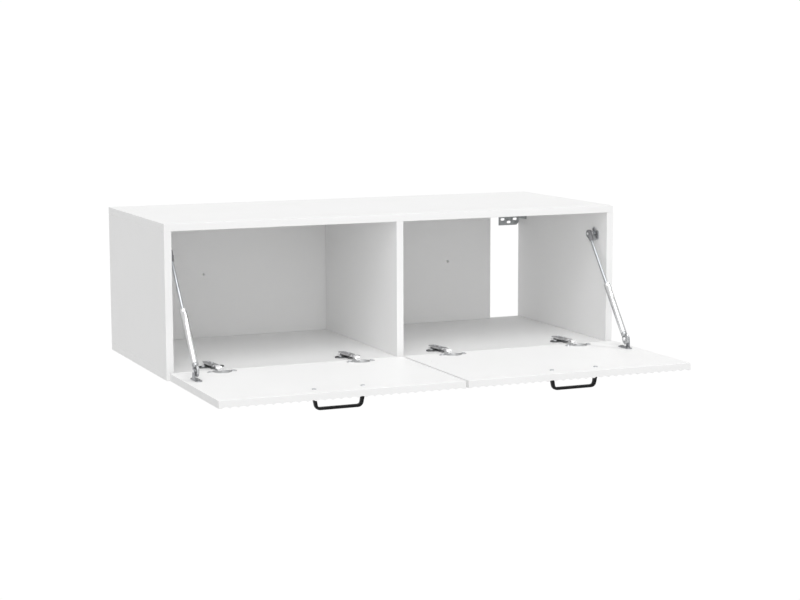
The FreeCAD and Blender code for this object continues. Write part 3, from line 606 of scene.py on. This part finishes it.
def link_at(x):
    """The hood is the arch widened across X, crowned by (1 - (x / half)^2) and drawn in to round corners
    at its two ends; its underside is the same surface one sheet lower. The cheeks are strips along the
    arch, and a turned pin runs through both at each end."""
    share = np.linspace(hood_from, hood_to, 15)[:, None]
    across_hood = np.linspace(-1.0, 1.0, 17)[None, :]
    draw_in = np.sqrt(1 - (2 * (share - hood_from) / (hood_to - hood_from) - 1) ** 6 * 0.6)
    crown = hood_crown * (1 - across_hood ** 2) * draw_in
    skins = []
    for lift in (hood_lift, hood_lift - hood_sheet):
        line = on_arch(share + 0 * across_hood, lift + crown)
        skins.append(np.concatenate([(x + hood_half * across_hood * draw_in)[..., None], line], axis=-1))
    top_skin, under_skin = skins
    ring = np.concatenate([top_skin, under_skin[:, ::-1]], axis=1)
    ends = [(np.stack([top_skin[end], under_skin[end]]), False, False) for end in (0, -1)]
    strip = np.linspace(0.0, 1.0, 24)
    edge = np.full_like(strip, cheek_depth / 2)
    outline = np.vstack([on_arch(strip, edge), on_arch(strip[::-1], -edge)])
    cheeks = [slab(outline, (x + shift, 0, 0), (0, 1, 0), (0, 0, 1), (cheek_sheet, 0, 0), ease=0.15)
              for shift in (-cheek_gap - cheek_sheet, cheek_gap)]
    half = cheek_gap + cheek_sheet + pin_overhang
    pins = []
    for place, radius in ((nose_place, nose_pin_radius), (link_end, barrel_radius)):
        profile = [(0, 0), (0, 1.0), (0.2, radius),
                   (2 * half - 0.2, radius), (2 * half, 1.0), (2 * half, 0)]
        pins.append((turned(profile, (x - half, *place), (1, 0, 0), sides=24), False, True))
    return [(ring, False, True)] + ends + cheeks + pins


links = [patch for x in hinge_line for patch in link_at(x)]
# Painted highlight: near-white and only a third metallic, so the hood shows as a white patch beyond what
# its nickel plating would give.
hood_painted_highlight = finish_of("hood_nickel_painted_highlight", (0.97, 0.97, 0.97), 0.35, 0.28)
vary_roughness(hood_painted_highlight, unevenness(hood_painted_highlight, 500.0), 0.22, 0.34)
raise_surface(hood_painted_highlight, unevenness(hood_painted_highlight, 1800.0), 0.00001)
for side, turn_over in both_sides:
    made_piece("hooded_hinge_links_" + side, turn_over(links), hood_painted_highlight, "hinge_links_" + side,
               ["hinge_links_" + side])


# ---- Strut side brackets ----
# A lobed zinc-plated steel plate screwed to each side board inside, with a boss where the strut's upper
# pin bears.

pale_zinc = finish_of("pale_zinc_plate", (0.62, 0.63, 0.65), 1.0, 0.4)
vary_roughness(pale_zinc, unevenness(pale_zinc, 300.0), 0.32, 0.5)
raise_surface(pale_zinc, unevenness(pale_zinc, 1500.0), 0.00002)
for side in ("left", "right"):
    dress("strut_side_bracket_" + side, pale_zinc)

strut_plane = -472.0
strut_foot = np.array([strut_plane, -528.3641, -118.5])
strut_head = np.array([strut_plane, -365.5, 90.0])
dark_screw = finish_of("dark_plated_screw", (0.32, 0.32, 0.33), 1.0, 0.4)
vary_roughness(dark_screw, unevenness(dark_screw, 700.0), 0.32, 0.5)
raise_surface(dark_screw, unevenness(dark_screw, 2400.0), 0.00002)
side_screw_places = ((-0.5, 8.6), (-14.3, 2.0), (-14.3, -6.0))   # Y and Z from the strut's upper pin
side_screws = [screw_at((side_inner + side_sheet, strut_head[1] + y, strut_head[2] + z), (1, 0, 0),
                        side_screw_length) for y, z in side_screw_places]
made_piece("strut_bracket_screws", side_screws + mirror_of(side_screws), dark_screw, "carcass",
           ["side_bracket_screws"])


# ---- Strut door brackets ----
# A zinc-plated steel bracket screwed to each door near its outer end: a round-ended base with one cheek,
# and through the cheek the strut's bright lower pin, with a domed cap.

base_rear, base_fore, base_radius, plate_sheet = 24.0, 20.0, 7.0, 2.0
pin_radius, lower_eye_half, cheek_outside = 2.5, 2.5, 6.9
cheek_corners = [(-8.5, 0.3), (8.5, 0.3), (6.5, 6.0), (5.6, 19.0), (4.2, 24.4), (-4.2, 24.4),
                 (-5.6, 19.0), (-6.5, 6.0)]   # Y from the pin, and height above the door
cheek_bend = 3.4
foot_screw_places, foot_screw_length = (15.0, -11.0), 9.0


def door_bracket():
    """The base is a round-ended plate. The cheek's outline rises from it and is rounded over the pin."""
    middle = strut_foot[1] + (base_rear - base_fore) / 2
    base = slab(round_ended((base_rear + base_fore) / 2 - base_radius, base_radius, steps=20),
                (strut_plane, middle, door_inner), (0, 1, 0), (1, 0, 0), (0, 0, plate_sheet), ease=0.5)
    outline = softened(cheek_corners, cheek_bend, steps=8, closed=True)
    cheek = slab(outline, (strut_plane - cheek_outside, strut_foot[1], door_inner), (0, 1, 0), (0, 0, 1),
                 (plate_sheet, 0, 0), ease=0.4)
    return [base, cheek]


pin_play = 0.3
pin_length = cheek_outside + lower_eye_half + pin_play
cap_radius, cap_height = 4.0, 3.6
lower_pin_profile = [(-0.6, 0.0), (-0.6, 2.6), (0.0, 3.4), (0.0, pin_radius), (pin_length, pin_radius),
                     (pin_length, cap_radius), (pin_length + cap_height * 0.35, cap_radius),
                     (pin_length + cap_height * 0.7, cap_radius * 0.88),
                     (pin_length + cap_height * 0.92, cap_radius * 0.6), (pin_length + cap_height, 0.0)]
lower_pin_start = strut_foot - np.array([cheek_outside, 0, 0])
lower_pin = [(turned(lower_pin_profile, lower_pin_start, (1, 0, 0), sides=40), False, True)]
foot_screws = [screw_at((strut_plane, strut_foot[1] + y, door_inner + plate_sheet), (0, 0, 1),
                        foot_screw_length) for y in foot_screw_places]
bracket_zinc = finish_of("bracket_zinc_plate", (0.42, 0.43, 0.45), 1.0, 0.38)
vary_roughness(bracket_zinc, unevenness(bracket_zinc, 300.0), 0.3, 0.48)
raise_surface(bracket_zinc, unevenness(bracket_zinc, 1500.0), 0.00002)
bright_pin = finish_of("bright_pivot_pin", (0.96, 0.96, 0.97), 0.3, 0.3)
vary_roughness(bright_pin, unevenness(bright_pin, 500.0), 0.24, 0.38)
raise_surface(bright_pin, unevenness(bright_pin, 1800.0), 0.00001)
for side, turn_over in both_sides:
    made_piece("cheeked_door_bracket_" + side, turn_over(door_bracket()), bracket_zinc, "door_" + side,
               ["strut_door_bracket_" + side])
    made_piece("capped_lower_pin_" + side, turn_over(lower_pin), bright_pin, "door_" + side,
               [])
    made_piece("door_bracket_screws_" + side, turn_over(foot_screws), dark_screw, "door_" + side,
               ["strut_door_screws_" + side])


# ---- Strut tubes ----
# A bright drawn steel tube, closed at the foot and pressed onto the lower fitting. A groove is rolled
# below its mouth, where the rod's gland sits. Its near-white colour and black edge tint are partly its
# bright steel and partly painted reflection: a white body with dark outlines.

strut_run = strut_head - strut_foot
open_length = np.linalg.norm(strut_run)
strut_run /= open_length
tube_start, tube_end, tube_radius, bore_radius = 15.0, 136.4847, 6.5, 5.5
groove_radius, gland_radius, gland_depth, foot_wall = 6.15, 3.1, 6.0, 2.0

# Painted reflection: the near-white colour, only partly metallic, makes the tube read bright as in a white
# room, and the black edge tint paints dark outlines along its sides.
tube_with_painted_reflection = finish_of("drawn_tube_painted_reflection", (0.97, 0.975, 0.98), 0.9, 0.2,
                        Specular_Tint=(0.0, 0.0, 0.0, 1.0))
drawn = unevenness(tube_with_painted_reflection, 300.0, spread=(6.0, 1.0, 1.0))
vary_roughness(tube_with_painted_reflection, drawn, 0.16, 0.28)
raise_surface(tube_with_painted_reflection, drawn, 0.00001)
closed_foot = [(tube_start, 0.0), (tube_start, 5.0), (tube_start + 0.5, 6.0),
               (tube_start + 1.6, tube_radius)]
groove = [(tube_end - 8.4, tube_radius), (tube_end - 7.6, groove_radius), (tube_end - 6.8, groove_radius),
          (tube_end - 6.0, tube_radius)]
mouth = [(tube_end - 1.2, tube_radius), (tube_end - 0.4, 6.2), (tube_end, 5.5), (tube_end, 3.5),
         (tube_end - 0.5, gland_radius)]
bore = [(tube_end - gland_depth, gland_radius), (tube_end - gland_depth, bore_radius),
        (tube_start + foot_wall, bore_radius), (tube_start + foot_wall, 0.0)]
tube_profile = closed_foot + groove + mouth + bore
tube = [(turned(tube_profile, strut_foot, strut_run, sides=64), False, True)]
for side, turn_over in both_sides:
    made_piece("drawn_strut_tube_" + side, turn_over(tube), tube_with_painted_reflection, "strut_tube_" + side,
               ["strut_tube_" + side])


# ---- Strut rods ----
# A ground steel rod. Its piston slides in the tube, and its other end is pressed into the strut's
# upper fitting.

# Painted reflection: the black edge tint paints dark outlines along the rod.
rod_steel_dark_edged = finish_of("ground_steel_rod_painted_dark_edges", (0.62, 0.645, 0.67), 1.0, 0.3,
                         Specular_Tint=(0.0, 0.0, 0.0, 1.0))
ground = unevenness(rod_steel_dark_edged, 500.0, spread=(6.0, 1.0, 1.0))
vary_roughness(rod_steel_dark_edged, ground, 0.24, 0.38)
raise_surface(rod_steel_dark_edged, ground, 0.00001)
piston_start, piston_end, rod_end = tube_end - 10.5, tube_end - 6.5, open_length - 13.0
rod_radius, piston_radius, piston_ease, piston_face = 3.0, 5.4, 0.4, 5.0
rod_profile = [(piston_start, 0.0), (piston_start, piston_face),
               (piston_start + piston_ease, piston_radius),
               (piston_end - piston_ease, piston_radius), (piston_end, piston_face),
               (piston_end, rod_radius), (rod_end, rod_radius), (rod_end, 0.0)]
rod = [(turned(rod_profile, strut_foot, strut_run), False, True)]
for side, turn_over in both_sides:
    made_piece("ground_strut_rod_" + side, turn_over(rod), rod_steel_dark_edged, "strut_rod_" + side,
               ["strut_rod_" + side])


# ---- Strut end fittings ----
# Moulded fittings on both ends. The lower one has a metallised grey skin and is nearly as wide as the tube
# down to its round eye. The upper one is a dark cone that widens to its eye, with the pin pressed in.

def eye_fitting(pivot, towards, reach, near, eye_radius, eye_half, hole_radius, neck_radius):
    """The eye is a ring about the pin, its rims rounded. The neck is a round section carried from the
    reach to near the pin; its radius goes evenly from the first value given to the second, and is drawn
    in over the last few steps at each end."""
    ring_profile = softened([(-eye_half, hole_radius), (-eye_half, eye_radius), (eye_half, eye_radius),
                             (eye_half, hole_radius)], 0.9, steps=5, closed=True)
    eye = turned(ring_profile, pivot, (1, 0, 0), sides=56)
    share = np.array([0.0, 0.03, 0.08, 0.2, 0.4, 0.6, 0.8, 0.92, 0.97, 1.0])
    drawn_in = np.array([0.88, 0.95, 1.0, 1.0, 1.0, 1.0, 1.0, 0.96, 0.9, 0.82])
    along = reach + (near - reach) * share
    radius = (neck_radius[0] + (neck_radius[1] - neck_radius[0]) * share) * drawn_in
    neck = turned(np.column_stack([along, radius]), pivot, towards, sides=44)
    return [(eye, True, True), (capped(neck), False, True)]


# Painted reflection: the near-black edge tint paints dark outlines round the lower fitting.
grey_moulding_painted_dark_edges = finish_of("grey_moulding_painted_dark_edges", (0.55, 0.56, 0.57), 0.7, 0.26,
                          Specular_Tint=(0.1, 0.1, 0.1, 1.0))
vary_roughness(grey_moulding_painted_dark_edges, unevenness(grey_moulding_painted_dark_edges, 300.0), 0.24, 0.4)
raise_surface(grey_moulding_painted_dark_edges, unevenness(grey_moulding_painted_dark_edges, 1200.0), 0.00004)
dark_moulding = finish_of("dark_moulding", (0.24, 0.24, 0.25), 0.0, 0.36)
vary_roughness(dark_moulding, unevenness(dark_moulding, 300.0), 0.3, 0.46)
raise_surface(dark_moulding, unevenness(dark_moulding, 1200.0), 0.00004)

upper_eye_half = 3.5
lower_fitting = eye_fitting(strut_foot, strut_run, reach=tube_start, near=6.2, eye_radius=11.5,
                            eye_half=lower_eye_half, hole_radius=2.55, neck_radius=(6.3, 5.8))
upper_fitting = eye_fitting(strut_head, -strut_run, reach=19.0, near=4.0, eye_radius=8.5,
                            eye_half=upper_eye_half, hole_radius=2.45, neck_radius=(4.0, 6.5))
free_end, head_cap_radius, head_cap_height, head_cap_gap = -481.1, 3.0, 1.8, 0.02
upper_pin_length = strut_plane + upper_eye_half + head_cap_gap - free_end
upper_pin_profile = [(0.0, 0.0), (0.0, 2.0), (0.5, pin_radius), (upper_pin_length, pin_radius),
                     (upper_pin_length, head_cap_radius),
                     (upper_pin_length + head_cap_height * 0.4, head_cap_radius),
                     (upper_pin_length + head_cap_height * 0.8, head_cap_radius * 0.8),
                     (upper_pin_length + head_cap_height, 0.0)]
upper_pin = [(turned(upper_pin_profile, (free_end, *strut_head[1:]), (1, 0, 0), sides=40), False, True)]
for side, turn_over in both_sides:
    made_piece("lower_eye_fitting_" + side, turn_over(lower_fitting), grey_moulding_painted_dark_edges,
               "strut_tube_" + side, ["strut_lower_fitting_" + side])
    made_piece("upper_eye_fitting_" + side, turn_over(upper_fitting), dark_moulding,
               "strut_rod_" + side, ["strut_upper_fitting_" + side])
    made_piece("capped_upper_pin_" + side, turn_over(upper_pin), bright_pin, "strut_rod_" + side,
               ["strut_upper_pin_" + side])
